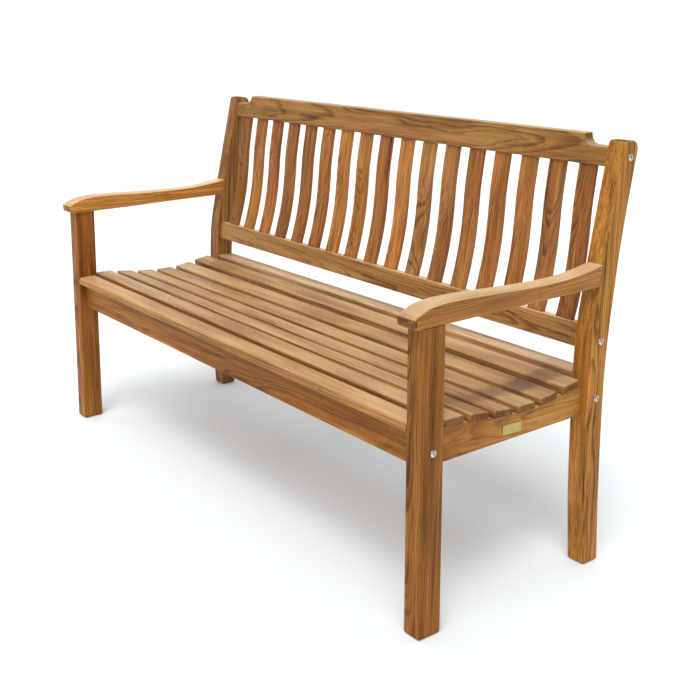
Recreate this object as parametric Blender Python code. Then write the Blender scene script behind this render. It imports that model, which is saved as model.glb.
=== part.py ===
"""Three-seat garden bench in oiled teak: boards, bolts, barrel nuts and a brass plate.

Metres, +Z up. X runs along the bench and the front faces -Y. The origin is on the floor, under the
centre of the bench's box. A depth is measured back from the front legs' front faces, and at_depth
turns it into Y.
"""

from math import atan2, cos, pi, radians, sin, tan

import bmesh
import bpy
import numpy as np
from mathutils import Vector

GAP = 0.0003  # clearance between pieces that touch

# Whole bench
LENGTH = 1.500  # over the legs' outer faces
FRONT_Y = -0.2928  # Y of the front legs' front faces
SIDES = (("left", -1), ("right", 1))

# Legs
LEG_THICK = 0.044
FRONT_LEG_DEPTH = 0.057
ARM_UNDERSIDE = 0.6255
REAR_LEG_TOP = 0.927
REAR_LEG_FRONT = [
    (0.000, 0.4880),
    (0.180, 0.4775),
    (0.320, 0.4762),
    (0.450, 0.4776),
    (0.530, 0.4825),
    (0.590, 0.4930),
    (0.700, 0.5150),
    (0.800, 0.5368),
    (0.927, 0.5650),
]
REAR_LEG_BACK = [
    (0.000, 0.5340),
    (0.180, 0.5290),
    (0.320, 0.5285),
    (0.450, 0.5325),
    (0.530, 0.5400),
    (0.590, 0.5478),
    (0.700, 0.5640),
    (0.800, 0.5830),
    (0.927, 0.6108),
]
REAR_LEG_STATIONS = [REAR_LEG_TOP * i / 16 for i in range(16)]  # heights of its outline's points
REAR_LEG_TOP_RADIUS = (0.009, 0.018)  # its front and rear top corners

# Arms, as (depth, height of the top face) and (depth, width)
ARM_TOP = [
    (-0.0203, 0.6460),
    (-0.0055, 0.6566),
    (0.015, 0.6622),
    (0.045, 0.6662),
    (0.100, 0.6667),
    (0.210, 0.6615),
    (0.310, 0.6585),
    (0.400, 0.6590),
    (0.450, 0.6633),
    (0.509, 0.6720),
]
ARM_WIDTH = [(-0.0203, 0.050), (0.200, 0.050), (0.340, 0.0425), (0.509, 0.0410)]
ARM_NOSE_RADIUS = 0.009
ARM_RUN_IN = 0.010  # how far the arm is drawn on into the leg before its end is cut

# Rails
SIDE_RAIL_OUTER = 0.731
SIDE_RAIL_THICK = 0.025
RAIL_BOTTOM = 0.343
SEAT_DISH = [
    (0.040, 0.4095),
    (0.075, 0.4153),
    (0.118, 0.4138),
    (0.160, 0.4080),
    (0.205, 0.4018),
    (0.255, 0.3970),
    (0.305, 0.3947),
    (0.350, 0.3965),
    (0.400, 0.4030),
    (0.445, 0.4105),
    (0.492, 0.4145),
]
FRONT_RAIL = (0.0218, 0.0478, 0.341, 0.4127)  # depth from and to, height from and to
REAR_SEAT_RAIL = (0.4915, 0.5175, RAIL_BOTTOM, 0.4162)
BEARER_THICK = 0.025
LOWER_RAIL_FOOT = (0.4875, 0.4875)  # depth and height of its front bottom arris
LOWER_RAIL_TALL = 0.0515
LOWER_RAIL_THICK = 0.030
LOWER_RAIL_RAKE = radians(8)
CREST_FRONT = 0.5555  # depth at the bottom of its front face
CREST_HEIGHTS = (0.870, 0.9355)
CREST_THICK = 0.0288
CREST_RAKE = radians(12.4)
CREST_RAISED_HALF = 0.639
COVE_RADIUS = 0.024

# Slats
SEAT_SLATS = 8
SEAT_SLAT_WIDTH = 0.0515
SEAT_SLAT_THICK = 0.0165
FRONT_SLAT_THICK = 0.020
SEAT_SLAT_PITCH = 0.0687
SEAT_SLAT_HALF_LENGTH = 0.740
BACK_SLATS = 17
BACK_SLAT_WIDTH = 0.044
BACK_SLAT_THICK = 0.012
BACK_SLAT_PITCH = 0.0819
BACK_SLAT_HOUSING = 0.014  # how far each end is let into its rail
BACK_SLAT_FRONT = [
    (0.520, 0.4968),
    (0.570, 0.5132),
    (0.615, 0.5252),
    (0.660, 0.5340),
    (0.720, 0.5413),
    (0.780, 0.5466),
    (0.840, 0.5560),
    (0.890, 0.5645),
]

# Joints
TENON_THICK = 0.010
TENON_REACH = 0.020
TENON_ROOT = 0.005  # how far a tenon starts inside its own piece
TENON_HEIGHTS = (0.352, 0.398)  # of the side rails' and the bearer's tenons, from and to
STUB_REACH = 0.008
STUB_HALF = {  # half depth and half height of the stub at each end of a long rail
    "front_rail": (0.006, 0.024),
    "rear_seat_rail": (0.007, 0.024),
    "lower_back_rail": (0.007, 0.014),
    "crest_rail": (0.007, 0.014),
}
LEG_TENON = (0.012, 0.018, 0.022)  # half width, half depth and height of the front leg's, in the arm
ARM_TENON_HALF_WIDTH = 0.006
ARM_TENON_HEIGHTS = (0.6335, 0.6615)  # of the arm's tenon in the rear leg, from and to

# Bolts, as (depth, height), and their barrel nuts
BOLT_PLACES = {
    "front_rail": (0.0290, 0.379),
    "rear_seat_rail": (0.5045, 0.381),
    "lower_back_rail": (0.5105, 0.5060),
    "crest_rail": (0.5800, 0.892),
}
BOLT_RADIUS = 0.004
BOLT_REACH = 0.090
HEAD_RADIUS = 0.0078
HEAD_HEIGHT = 0.0042
HEAD_RIM = 0.0008  # height of the head's straight edge
NUT_RADIUS = 0.006
NUT_LENGTH = 0.018
NUT_INSET = 0.034  # from the leg's inner face to the nut's axis
NUT_SET_BACK = {"front_rail": 0.003}  # how far a nut's middle lies behind its bolt
NUT_POCKET_REACH = 0.030  # how far a nut's pocket runs on behind it, out through the rail

# Plate on the right side rail, as (depth, height) of its centre
PLATE_CENTRE = (0.265, 0.366)
PLATE_SIZE = (0.053, 0.021, 0.001)
PLATE_TILT = radians(3)  # its rear end sits low
PLATE_CORNER_RADIUS = 0.002

EASED = 0.003  # eased arrises of legs, arms, long rails and seat slats
SIDE_RAIL_EASED = 0.002
BACK_SLAT_EASED = 0.0018
CREST_EASED = 0.004
SHARP = radians(40)  # an edge that turns by more than this is an arris
ROUND_SEGMENTS = 16  # sides of bolts, nuts and holes

OUTER = LENGTH / 2
INNER = OUTER - LEG_THICK


def at_depth(depth):
    return FRONT_Y + depth


def make_material(name, colour, roughness, metallic=0.0):
    material = bpy.data.materials.new(name)
    material.use_nodes = True
    shader = material.node_tree.nodes["Principled BSDF"]
    shader.inputs["Base Color"].default_value = (*colour, 1.0)
    shader.inputs["Roughness"].default_value = roughness
    shader.inputs["Metallic"].default_value = metallic
    return material


def smooth(stations):
    """A smooth function of one variable through its (at, value) stations."""
    at, value = np.array(stations).T
    slope = np.gradient(value, at)

    def curve(t):
        i = int(np.clip(np.searchsorted(at, t, side="right") - 1, 0, len(at) - 2))
        span = at[i + 1] - at[i]
        u = (t - at[i]) / span
        start = value[i] * (1 + 2 * u) * (1 - u) ** 2 + slope[i] * span * u * (1 - u) ** 2
        end = value[i + 1] * u**2 * (3 - 2 * u) - slope[i + 1] * span * u**2 * (1 - u)
        return float(start + end)

    return curve


leg_front = smooth(REAR_LEG_FRONT)
leg_back = smooth(REAR_LEG_BACK)
arm_top = smooth(ARM_TOP)
arm_width = smooth(ARM_WIDTH)
seat_dish = smooth(SEAT_DISH)
slat_front = smooth(BACK_SLAT_FRONT)


def rounded_corner(before, corner, after, radius, steps=4):
    """Points on the arc that rounds off the corner between two neighbours."""
    corner = Vector(corner)
    into = (Vector(before) - corner).normalized()
    out = (Vector(after) - corner).normalized()
    half = into.angle(out) / 2
    centre = corner + (into + out).normalized() * radius / sin(half)
    start = corner + into * radius / tan(half) - centre
    end = corner + out * radius / tan(half) - centre
    first = atan2(start.y, start.x)
    turn = (atan2(end.y, end.x) - first + pi) % (2 * pi) - pi
    angles = [first + turn * i / steps for i in range(steps + 1)]
    return [(centre.x + radius * cos(a), centre.y + radius * sin(a)) for a in angles]


def add_mesh(name, points, faces, material=None):
    """An object from points and faces, with its faces turned outwards."""
    mesh = bpy.data.meshes.new(name)
    mesh.from_pydata([tuple(p) for p in points], [], faces)
    form = bmesh.new()
    form.from_mesh(mesh)
    bmesh.ops.recalc_face_normals(form, faces=form.faces)
    form.to_mesh(mesh)
    form.free()
    if material:
        mesh.materials.append(material)
    obj = bpy.data.objects.new(name, mesh)
    bpy.context.scene.collection.objects.link(obj)
    return obj


def add_loft(name, rings, material=None):
    """A solid through rings of points, each closed, with a face over the first and the last."""
    count = len(rings[0])
    points = [point for ring in rings for point in ring]
    faces = [tuple(range(count)), tuple(range(len(points) - count, len(points)))]
    for row in range(len(rings) - 1):
        low = row * count
        for i in range(count):
            j = (i + 1) % count
            faces.append((low + i, low + j, low + count + j, low + count + i))
    return add_mesh(name, points, faces, material)


def add_section(name, outline, x_from, x_to, material=None):
    """A (depth, height) outline extruded along X."""
    rings = [[(x, at_depth(depth), height) for depth, height in outline] for x in (x_from, x_to)]
    return add_loft(name, rings, material)


def add_block(name, x_range, depth_range, height_range, material=None):
    (d0, d1), (z0, z1) = depth_range, height_range
    outline = [(d0, z0), (d1, z0), (d1, z1), (d0, z1)]
    return add_section(name, outline, x_range[0], x_range[1], material)


def add_turned(name, profile, place, axis, material=None):
    """A (radius, along) profile turned round an axis through a place, closed at both ends."""
    turn = Vector((0, 0, 1)).rotation_difference(Vector(axis)).to_matrix()
    angles = [2 * pi * i / ROUND_SEGMENTS for i in range(ROUND_SEGMENTS)]
    rings = [
        [Vector(place) + turn @ Vector((r * cos(a), r * sin(a), along)) for a in angles]
        for r, along in profile
    ]
    obj = add_loft(name, rings, material)
    obj.data.shade_smooth()
    obj.data.set_sharp_from_angle(angle=SHARP)
    return obj


def ease(obj, width=EASED):
    """Eases the arrises, and leaves the shallow steps of a curved outline alone."""
    bevel = obj.modifiers.new("Eased arrises", "BEVEL")
    bevel.width = width
    bevel.segments = 1
    bevel.limit_method = "ANGLE"
    bevel.angle_limit = SHARP


def as_helper(obj):
    obj.hide_render = True
    obj.display_type = "WIRE"
    return obj


def combine(obj, other, operation):
    modifier = obj.modifiers.new(f"{operation} {other.name}", "BOOLEAN")
    modifier.operation = operation
    modifier.solver = "EXACT"
    modifier.object = as_helper(other)


def cut(obj, cutter):
    combine(obj, cutter, "DIFFERENCE")


def add_tenon(obj, mortised, x_range, depth_range, height_range, axis, sign):
    """Joins a tenon to obj and cuts its mortise, wider all round by GAP, from the other piece.

    It sticks out of obj along an axis (0, 1 or 2 for X, Y or Z), up or down that axis by its sign.
    """
    name = f"{obj.name}_in_{mortised.name}"
    tenon = [sorted(x_range), sorted(depth_range), sorted(height_range)]
    tenon[axis][0 if sign > 0 else 1] -= sign * TENON_ROOT
    combine(obj, add_block(f"{name}_tenon", *tenon), "UNION")
    mortise = [(low - GAP, high + GAP) for low, high in tenon]
    cut(mortised, add_block(f"{name}_mortise", *mortise))


def make_front_leg(name, side, material):
    top = ARM_UNDERSIDE - GAP
    leg = add_block(name, (side * INNER, side * OUTER), (0, FRONT_LEG_DEPTH), (0, top), material)
    ease(leg)
    return leg


def make_rear_leg(name, side, material):
    """Straight and slightly splayed below the seat, then raked, with its top corners rounded."""
    front = [(leg_front(z), z) for z in REAR_LEG_STATIONS]
    back = [(leg_back(z), z) for z in REAR_LEG_STATIONS]
    top_front = (leg_front(REAR_LEG_TOP), REAR_LEG_TOP)
    top_back = (leg_back(REAR_LEG_TOP), REAR_LEG_TOP)
    front_arc = rounded_corner(front[-1], top_front, top_back, REAR_LEG_TOP_RADIUS[0])
    back_arc = rounded_corner(top_front, top_back, back[-1], REAR_LEG_TOP_RADIUS[1])
    outline = front + front_arc + back_arc + back[::-1]
    leg = add_section(name, outline, side * INNER, side * OUTER, material)
    ease(leg)
    return leg


def make_arm(name, side, material):
    """Its top rolls over at the nose and sweeps up; its inner edge narrows; its end fits the leg."""
    nose, rear = ARM_TOP[0][0], ARM_TOP[-1][0] + ARM_RUN_IN
    depths = np.linspace(nose, rear, 22)
    before, corner, after = (nose, ARM_TOP[0][1]), (nose, ARM_UNDERSIDE), (rear, ARM_UNDERSIDE)
    nose_arc = rounded_corner(before, corner, after, ARM_NOSE_RADIUS)
    under = [(depth, ARM_UNDERSIDE) for depth in depths if depth > nose + 2 * ARM_NOSE_RADIUS]
    top = [(depth, arm_top(depth)) for depth in depths]
    outline = nose_arc + under + top[::-1]
    outer = [(side * OUTER, at_depth(d), z) for d, z in outline]
    inner = [(side * (OUTER - arm_width(d)), at_depth(d), z) for d, z in outline]
    arm = add_loft(name, [inner, outer], material)
    ease(arm)
    face = [(leg_front(z) - GAP, z) for z in REAR_LEG_STATIONS if z > SEAT_DISH[0][1]]
    behind = leg_back(REAR_LEG_TOP)
    outline = face + [(behind, face[-1][1]), (behind, face[0][1])]
    middle = side * (OUTER - LEG_THICK / 2)
    cut(arm, add_section(f"{name}_end", outline, middle - LEG_THICK, middle + LEG_THICK))
    return arm


def make_dished_rail(name, x_range, depth_range, material):
    """A rail whose top follows the seat's dish, for the side rails and the centre bearer."""
    depths = np.linspace(depth_range[0], depth_range[1], 13)
    top = [(d, seat_dish(d)) for d in depths]
    outline = [(depth_range[0], RAIL_BOTTOM), (depth_range[1], RAIL_BOTTOM)] + top[::-1]
    rail = add_section(name, outline, x_range[0], x_range[1], material)
    ease(rail, SIDE_RAIL_EASED)
    return rail


def make_seat_rail(name, size, material):
    rail = add_block(name, (GAP - INNER, INNER - GAP), size[:2], size[2:], material)
    ease(rail)
    return rail


def make_lower_back_rail(name, material):
    """A square-edged rail leant back by its rake."""
    up = Vector((sin(LOWER_RAIL_RAKE), cos(LOWER_RAIL_RAKE))) * LOWER_RAIL_TALL
    across = Vector((cos(LOWER_RAIL_RAKE), -sin(LOWER_RAIL_RAKE))) * LOWER_RAIL_THICK
    foot = Vector(LOWER_RAIL_FOOT)
    outline = [tuple(p) for p in (foot, foot + across, foot + across + up, foot + up)]
    rail = add_section(name, outline, GAP - INNER, INNER - GAP, material)
    ease(rail)
    return rail


def make_crest_rail(name, material):
    """A raised centre that drops through a cove to a shoulder at each end, all raked back."""
    bottom, top = CREST_HEIGHTS
    end = INNER - GAP
    cove = [radians(180 + 15 * i) for i in range(7)]
    centre = CREST_RAISED_HALF + COVE_RADIUS
    right = [(centre + COVE_RADIUS * cos(a), top + COVE_RADIUS * sin(a)) for a in cove]
    right += [(end, top - COVE_RADIUS), (end, bottom)]
    outline = right + [(-x, z) for x, z in right[::-1]]

    def raked(x, z, thick):
        return (x, at_depth(CREST_FRONT + (z - bottom) * tan(CREST_RAKE) + thick), z)

    rings = [[raked(x, z, thick) for x, z in outline] for thick in (0, CREST_THICK)]
    crest = add_loft(name, rings, material)
    ease(crest, CREST_EASED)
    return crest


def make_long_rails(material):
    """The rails that run between the two sides, by name."""
    rails = [
        make_seat_rail("front_rail", FRONT_RAIL, material),
        make_seat_rail("rear_seat_rail", REAR_SEAT_RAIL, material),
        make_lower_back_rail("lower_back_rail", material),
        make_crest_rail("crest_rail", material),
    ]
    return {rail.name: rail for rail in rails}


def make_centre_bearer(front_rail, rear_rail, material):
    """Carries the seat slats at mid-length, stub-tenoned into the two seat rails."""
    span = (FRONT_RAIL[1] + GAP, REAR_SEAT_RAIL[0] - GAP)
    half = BEARER_THICK / 2
    bearer = make_dished_rail("centre_bearer", (-half, half), span, material)
    tenon_x = (-TENON_THICK / 2, TENON_THICK / 2)
    for rail, end, sign in ((front_rail, span[0], -1), (rear_rail, span[1], 1)):
        reach = (end, end + sign * STUB_REACH)
        add_tenon(bearer, rail, tenon_x, reach, TENON_HEIGHTS, 1, sign)


def make_side_rail(name, side, front_leg, rear_leg, material):
    """Tenoned into both legs, its outer face set back from theirs."""
    rear_face = min(leg_front(z) for z in np.linspace(RAIL_BOTTOM, SEAT_DISH[-1][1], 7))
    span = (FRONT_LEG_DEPTH + GAP, rear_face - GAP)
    outside, inside = side * SIDE_RAIL_OUTER, side * (SIDE_RAIL_OUTER - SIDE_RAIL_THICK)
    rail = make_dished_rail(name, (inside, outside), span, material)
    tenon_x = (outside - side * TENON_THICK / 2, outside - side * TENON_THICK * 3 / 2)
    for leg, end, sign in ((front_leg, span[0], -1), (rear_leg, span[1], 1)):
        reach = (end, end + sign * TENON_REACH)
        add_tenon(rail, leg, tenon_x, reach, TENON_HEIGHTS, 1, sign)


def join_arm(arm, side, front_leg, rear_leg):
    """The front leg's tenon stands in the arm, and the arm's tenon runs into the rear leg."""
    middle_x = side * (INNER + LEG_THICK / 2)
    middle_depth = FRONT_LEG_DEPTH / 2
    half_x, half_depth, height = LEG_TENON
    leg_x = (middle_x - half_x, middle_x + half_x)
    leg_depth = (middle_depth - half_depth, middle_depth + half_depth)
    add_tenon(front_leg, arm, leg_x, leg_depth, (ARM_UNDERSIDE, ARM_UNDERSIDE + height), 2, 1)
    arm_x = (middle_x - ARM_TENON_HALF_WIDTH, middle_x + ARM_TENON_HALF_WIDTH)
    shoulder = leg_front(ARM_TENON_HEIGHTS[0]) - GAP
    add_tenon(arm, rear_leg, arm_x, (shoulder, shoulder + TENON_REACH), ARM_TENON_HEIGHTS, 1, 1)


def join_long_rail(rail, leg, side):
    """A stub tenon that stops the rail from turning; the bolt through its middle holds it."""
    depth, height = BOLT_PLACES[rail.name]
    half_depth, half_height = STUB_HALF[rail.name]
    reach = (side * (INNER - GAP), side * (INNER + STUB_REACH))
    stub_depth = (depth - half_depth, depth + half_depth)
    stub_height = (height - half_height, height + half_height)
    add_tenon(rail, leg, reach, stub_depth, stub_height, 0, side)


def bolt_profile():
    """From the shank's end to the crown of the domed head, as (radius, distance from the leg's face)."""
    dome = HEAD_HEIGHT - HEAD_RIM
    profile = [(BOLT_RADIUS, BOLT_REACH), (BOLT_RADIUS, 0), (HEAD_RADIUS, 0), (HEAD_RADIUS, -HEAD_RIM)]
    for angle in (radians(25), radians(50), radians(75)):
        profile.append((HEAD_RADIUS * cos(angle), -HEAD_RIM - dome * sin(angle)))
    return profile


def make_bolt(rail, leg, side_name, side, steel, nut_steel):
    """A dome-head bolt through the leg into a barrel nut in the rail, with the holes for both."""
    name = f"{rail.name}_{side_name}"
    depth, height = BOLT_PLACES[rail.name]
    face = Vector((side * (OUTER + GAP), at_depth(depth), height))
    inward = Vector((-side, 0, 0))
    add_turned(f"bolt_{name}", bolt_profile(), face, inward, steel)
    hole = [(BOLT_RADIUS + GAP, -2 * HEAD_HEIGHT), (BOLT_RADIUS + GAP, BOLT_REACH + 2 * GAP)]
    hole_cutter = add_turned(f"bolt_hole_{name}", hole, face, inward)
    cut(leg, hole_cutter)
    cut(rail, hole_cutter)

    lean = {"lower_back_rail": LOWER_RAIL_RAKE, "crest_rail": CREST_RAKE}.get(rail.name, 0.0)
    backward = Vector((0, cos(lean), -sin(lean)))
    set_back = NUT_SET_BACK.get(rail.name, 0.0)
    centre = Vector((side * (INNER - NUT_INSET), at_depth(depth + set_back), height))
    half = NUT_LENGTH / 2
    barrel = [(NUT_RADIUS, -half), (NUT_RADIUS, half)]
    nut = add_turned(f"barrel_nut_{name}", barrel, centre, backward, nut_steel)
    cut(nut, hole_cutter)
    pocket = [(NUT_RADIUS + GAP, -half - GAP), (NUT_RADIUS + GAP, half + NUT_POCKET_REACH)]
    cut(rail, add_turned(f"nut_pocket_{name}", pocket, centre, backward))


def make_side(side_name, side, rails, leg_teak, arm_teak, rail_teak, bolt_steel, nut_steel):
    """One end of the bench, and everything that ties the long rails to it."""
    front_leg = make_front_leg(f"front_leg_{side_name}", side, leg_teak)
    rear_leg = make_rear_leg(f"rear_leg_{side_name}", side, leg_teak)
    arm = make_arm(f"arm_{side_name}", side, arm_teak)
    make_side_rail(f"side_rail_{side_name}", side, front_leg, rear_leg, rail_teak)
    join_arm(arm, side, front_leg, rear_leg)
    for rail in rails.values():
        leg = front_leg if rail.name == "front_rail" else rear_leg
        join_long_rail(rail, leg, side)
        make_bolt(rail, leg, side_name, side, bolt_steel, nut_steel)


def make_seat_slat(number, material):
    """Slats 1 and 8 run between the legs; the others lie in the dish, across the side rails."""
    front = (number - 1) * SEAT_SLAT_PITCH
    reach = SEAT_SLAT_WIDTH / 2
    middle = front + reach
    thick = FRONT_SLAT_THICK if number == 1 else SEAT_SLAT_THICK
    if number in (1, SEAT_SLATS):
        half_length = INNER - GAP
        level = (FRONT_RAIL if number == 1 else REAR_SEAT_RAIL)[3]
        tilt = 0.0
    else:
        half_length = SEAT_SLAT_HALF_LENGTH
        tilt = atan2(seat_dish(middle + reach) - seat_dish(middle - reach), SEAT_SLAT_WIDTH)
        level = max(
            seat_dish(middle + along) - along * tan(tilt) for along in np.linspace(-reach, reach, 9)
        )
    outline = []
    for along, up in ((-reach, 0), (reach, 0), (reach, thick), (-reach, thick)):
        lift = GAP + up
        depth = middle + along * cos(tilt) - lift * sin(tilt)
        outline.append((depth, level + along * sin(tilt) + lift * cos(tilt)))
    slat = add_section(f"seat_slat_{number}", outline, -half_length, half_length, material)
    ease(slat)


def back_slat_outline(clearance):
    """The slat's bent side profile, from its end in the lower rail to its end in the crest."""
    low = LOWER_RAIL_FOOT[1] + LOWER_RAIL_TALL - BACK_SLAT_HOUSING - clearance
    high = CREST_HEIGHTS[0] + BACK_SLAT_HOUSING + clearance
    step = 0.001
    front, back = [], []
    for z in np.linspace(low, high, 10):
        lean = atan2(slat_front(z + step) - slat_front(z - step), 2 * step)
        across = Vector((cos(lean), -sin(lean)))
        middle = Vector((slat_front(z), z)) + across * BACK_SLAT_THICK / 2
        reach = BACK_SLAT_THICK / 2 + clearance
        front.append(tuple(middle - across * reach))
        back.append(tuple(middle + across * reach))
    return front + back[::-1]


def join_cutters(name, cutters):
    """One helper that holds the solids of several, which don't touch."""
    form = bmesh.new()
    for cutter in cutters:
        form.from_mesh(cutter.data)
        bpy.data.objects.remove(cutter)
    mesh = bpy.data.meshes.new(name)
    form.to_mesh(mesh)
    form.free()
    joined = bpy.data.objects.new(name, mesh)
    bpy.context.scene.collection.objects.link(joined)
    return joined


def make_back_slats(rails, material):
    """The slats, each end housed in a mortise in its rail."""
    outline = back_slat_outline(0)
    housing = back_slat_outline(GAP)
    housings = []
    for number in range(1, BACK_SLATS + 1):
        centre = (number - (BACK_SLATS + 1) / 2) * BACK_SLAT_PITCH
        left, right = centre - BACK_SLAT_WIDTH / 2, centre + BACK_SLAT_WIDTH / 2
        slat = add_section(f"back_slat_{number:02d}", outline, left, right, material)
        ease(slat, BACK_SLAT_EASED)
        housings.append(add_section(f"housing_{number:02d}", housing, left - GAP, right + GAP))
    cutter = join_cutters("back_slat_housings", housings)
    for rail in rails:
        cut(rail, cutter)


def make_plate(name, material):
    """A thin plate with rounded corners, a little askew, on the right side rail's outer face."""
    length, height, thick = PLATE_SIZE
    corners = []
    for along, up in ((-length, -height), (length, -height), (length, height), (-length, height)):
        depth = PLATE_CENTRE[0] + (along * cos(PLATE_TILT) + up * sin(PLATE_TILT)) / 2
        corners.append((depth, PLATE_CENTRE[1] + (up * cos(PLATE_TILT) - along * sin(PLATE_TILT)) / 2))
    outline = []
    for i, corner in enumerate(corners):
        after = corners[(i + 1) % len(corners)]
        outline += rounded_corner(corners[i - 1], corner, after, PLATE_CORNER_RADIUS, 3)
    inside = SIDE_RAIL_OUTER + GAP
    add_section(name, outline, inside, inside + thick, material)


def main():
    for obj in list(bpy.data.objects):
        bpy.data.objects.remove(obj)

    leg_teak = make_material("leg_teak", (0.36, 0.165, 0.055), 0.55)
    arm_teak = make_material("arm_teak", (0.45, 0.24, 0.10), 0.5)
    rail_teak = make_material("rail_teak", (0.33, 0.16, 0.065), 0.55)
    seat_teak = make_material("seat_teak", (0.50, 0.29, 0.14), 0.55)
    back_teak = make_material("back_teak", (0.30, 0.13, 0.045), 0.55)
    bolt_steel = make_material("bolt_steel", (0.72, 0.72, 0.70), 0.25, 1.0)
    nut_steel = make_material("nut_steel", (0.55, 0.55, 0.52), 0.4, 1.0)
    plate_brass = make_material("plate_brass", (0.72, 0.55, 0.27), 0.3, 1.0)

    rails = make_long_rails(rail_teak)
    make_centre_bearer(rails["front_rail"], rails["rear_seat_rail"], rail_teak)
    for side_name, side in SIDES:
        make_side(side_name, side, rails, leg_teak, arm_teak, rail_teak, bolt_steel, nut_steel)
    make_back_slats((rails["lower_back_rail"], rails["crest_rail"]), back_teak)
    for number in range(1, SEAT_SLATS + 1):
        make_seat_slat(number, seat_teak)
    make_plate("plate", plate_brass)


main()
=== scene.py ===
"""The looks of a slatted garden bench: fine boards, oiled teak, steel bolts and a brass plate.

Metres, +Z up, X along the bench and the front facing -Y. A depth is measured back from the front
legs' front faces. A board's grain is straight, as in the stock it was sawn from, so it is kept on the
mesh as three coordinates, along the grain and in two directions across it, measured from the pith.
"""

import random
from math import atan2, cos, pi, radians, sin, tan

import bmesh
import bpy
import numpy as np
from mathutils import Matrix, Vector


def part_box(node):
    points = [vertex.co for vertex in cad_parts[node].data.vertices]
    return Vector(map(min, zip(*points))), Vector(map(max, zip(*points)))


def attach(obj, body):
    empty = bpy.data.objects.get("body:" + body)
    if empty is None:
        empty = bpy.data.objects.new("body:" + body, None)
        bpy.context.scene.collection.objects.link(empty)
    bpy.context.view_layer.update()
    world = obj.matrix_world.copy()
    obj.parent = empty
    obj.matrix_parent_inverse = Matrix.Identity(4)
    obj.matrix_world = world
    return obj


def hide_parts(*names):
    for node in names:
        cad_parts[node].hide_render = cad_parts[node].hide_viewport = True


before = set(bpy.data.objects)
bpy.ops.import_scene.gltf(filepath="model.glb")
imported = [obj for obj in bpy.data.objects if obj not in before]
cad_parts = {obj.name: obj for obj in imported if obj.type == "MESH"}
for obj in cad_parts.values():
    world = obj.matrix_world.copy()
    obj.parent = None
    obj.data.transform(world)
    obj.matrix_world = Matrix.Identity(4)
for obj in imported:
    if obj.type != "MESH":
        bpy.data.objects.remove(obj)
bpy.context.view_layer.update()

# Sizes of the bench
GAP = 0.0003  # between two pieces that touch
SIDES = (("left", -1), ("right", 1))
FRONT_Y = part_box("front_leg_right")[0].y
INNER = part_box("front_leg_right")[0].x  # the legs' inner and outer faces
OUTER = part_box("front_leg_right")[1].x
FRONT_LEG_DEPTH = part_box("front_leg_right")[1].y - FRONT_Y
ARM_UNDERSIDE = 0.6255
REAR_LEG_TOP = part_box("rear_leg_right")[1].z
REAR_LEG_FRONT = [  # height and depth
    (0.000, 0.4880),
    (0.180, 0.4775),
    (0.320, 0.4762),
    (0.450, 0.4776),
    (0.530, 0.4825),
    (0.590, 0.4930),
    (0.700, 0.5150),
    (0.800, 0.5368),
    (0.927, 0.5650),
]
REAR_LEG_BACK = [  # height and depth
    (0.000, 0.5340),
    (0.180, 0.5290),
    (0.320, 0.5285),
    (0.450, 0.5325),
    (0.530, 0.5400),
    (0.590, 0.5478),
    (0.700, 0.5640),
    (0.800, 0.5830),
    (0.927, 0.6108),
]
REAR_LEG_TOP_RADIUS = (0.009, 0.018)  # of its front and its back corner
ARM_TOP = [  # depth and height
    (-0.0203, 0.6460),
    (-0.0055, 0.6566),
    (0.015, 0.6622),
    (0.045, 0.6662),
    (0.100, 0.6667),
    (0.210, 0.6615),
    (0.310, 0.6585),
    (0.400, 0.6590),
    (0.450, 0.6633),
    (0.509, 0.6720),
]
ARM_WIDTH = [  # depth and width
    (-0.0203, 0.050),
    (0.200, 0.050),
    (0.340, 0.0425),
    (0.509, 0.0410),
]
ARM_NOSE_RADIUS = 0.009
SIDE_RAIL_OUTER = 0.731
SIDE_RAIL_THICK = 0.025
RAIL_BOTTOM = 0.343
SEAT_DISH = [  # depth and height
    (0.040, 0.4095),
    (0.075, 0.4153),
    (0.118, 0.4138),
    (0.160, 0.4080),
    (0.205, 0.4018),
    (0.255, 0.3970),
    (0.305, 0.3947),
    (0.350, 0.3965),
    (0.400, 0.4030),
    (0.445, 0.4105),
    (0.492, 0.4145),
]
FRONT_RAIL = (0.0218, 0.0478, 0.341, 0.4127)  # depth from and to, height from and to
REAR_SEAT_RAIL = (0.4915, 0.5175, RAIL_BOTTOM, 0.4162)
BEARER_THICK = 0.025
LOWER_RAIL_FOOT = (0.4875, 0.4875)  # depth and height of its front bottom arris
LOWER_RAIL_TALL = 0.0515
LOWER_RAIL_THICK = 0.030
LOWER_RAIL_RAKE = radians(8)
CREST_FRONT = 0.5555
CREST_HEIGHTS = (0.870, 0.9355)
CREST_THICK = 0.0288
CREST_RAKE = radians(12.4)
CREST_RAISED_HALF = 0.639
COVE_RADIUS = 0.024
SEAT_SLATS = 8
SEAT_SLAT_WIDTH = 0.0515
SEAT_SLAT_THICK = 0.0165
FRONT_SLAT_THICK = 0.020
SEAT_SLAT_PITCH = 0.0687
SEAT_SLAT_HALF_LENGTH = 0.740
BACK_SLATS = 17
BACK_SLAT_WIDTH = 0.044
BACK_SLAT_THICK = 0.012
BACK_SLAT_PITCH = 0.0819
BACK_SLAT_HOUSED = 0.008
BACK_SLAT_FRONT = [  # height and depth
    (0.520, 0.4968),
    (0.570, 0.5132),
    (0.615, 0.5252),
    (0.660, 0.5340),
    (0.720, 0.5413),
    (0.780, 0.5466),
    (0.840, 0.5560),
    (0.890, 0.5645),
]
BOLT_PLACES = {  # depth and height of each rail's bolts
    "front_rail": (0.0290, 0.379),
    "rear_seat_rail": (0.5045, 0.381),
    "lower_back_rail": (0.5105, 0.5060),
    "crest_rail": (0.5800, 0.892),
}
HEAD_RADIUS = 0.0078
HEAD_HEIGHT = 0.0042
HEAD_RIM = 0.0008  # height of the head's straight edge
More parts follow.
